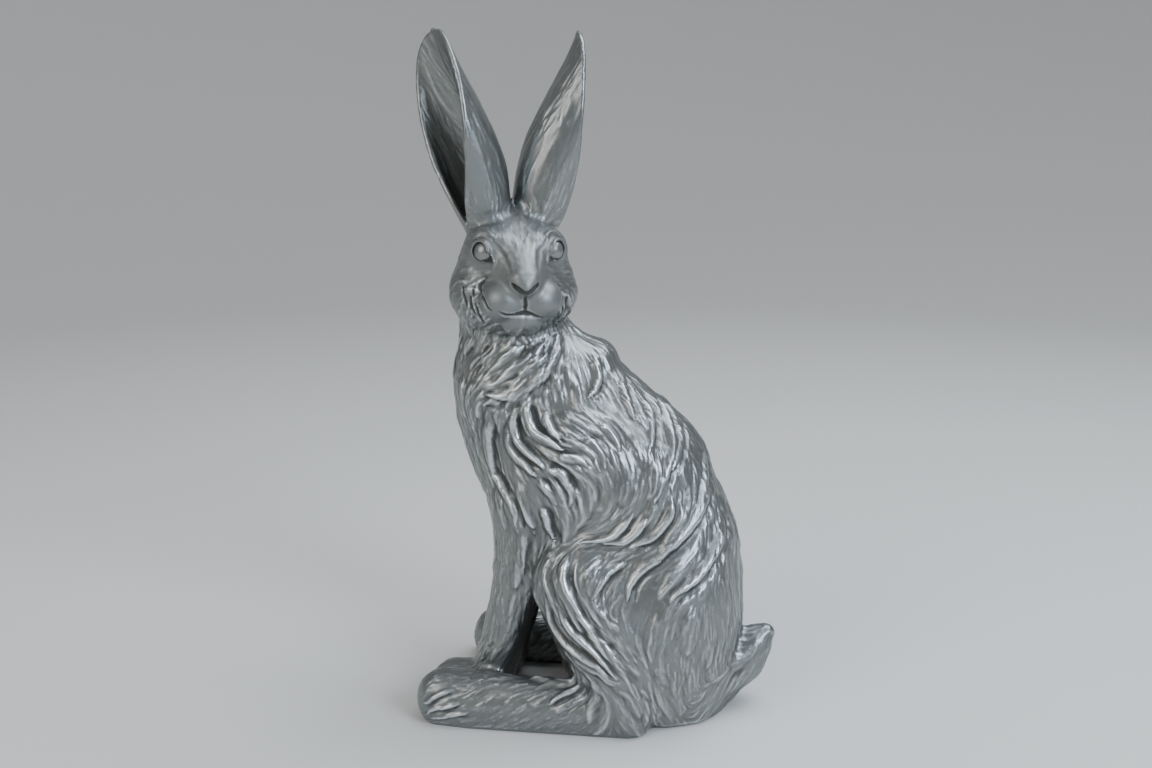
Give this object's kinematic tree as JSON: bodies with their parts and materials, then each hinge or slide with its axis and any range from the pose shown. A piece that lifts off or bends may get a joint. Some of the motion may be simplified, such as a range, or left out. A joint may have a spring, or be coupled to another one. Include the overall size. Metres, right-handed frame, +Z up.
{
  "type": "hare statue",
  "caption": "Seated hare statue in cast resin with a pewter metallic finish, upright on its rump and feet, ears raised and head turned to look out to its left side.",
  "frame": {"origin": "the middle of the bounding box, on the floor", "axes": "+Z up, the body faces -X and the head looks out to the -Y side, which is the hare's left"},
  "size_m": [0.1978, 0.1212, 0.3796],
  "materials": {
    "pewter_finish": "pewter metallic paint, brushed silver on the raised fur and dark in the grooves",
    "eye_finish": "the same pewter paint, smooth and glossier"
  },
  "bodies": {
    "root": {"trunk": "pewter_finish", "neck": "pewter_finish", "head": "pewter_finish", "ear_left": "pewter_finish", "ear_right": "pewter_finish", "eye_left": "eye_finish", "eye_right": "eye_finish", "foreleg_left": "pewter_finish", "foreleg_right": "pewter_finish", "forepaw_left": "pewter_finish", "forepaw_right": "pewter_finish", "hind_leg_left": "pewter_finish", "hind_leg_right": "pewter_finish", "hind_foot_left": "pewter_finish", "hind_foot_right": "pewter_finish", "tail": "pewter_finish"}
  },
  "joints": []
}
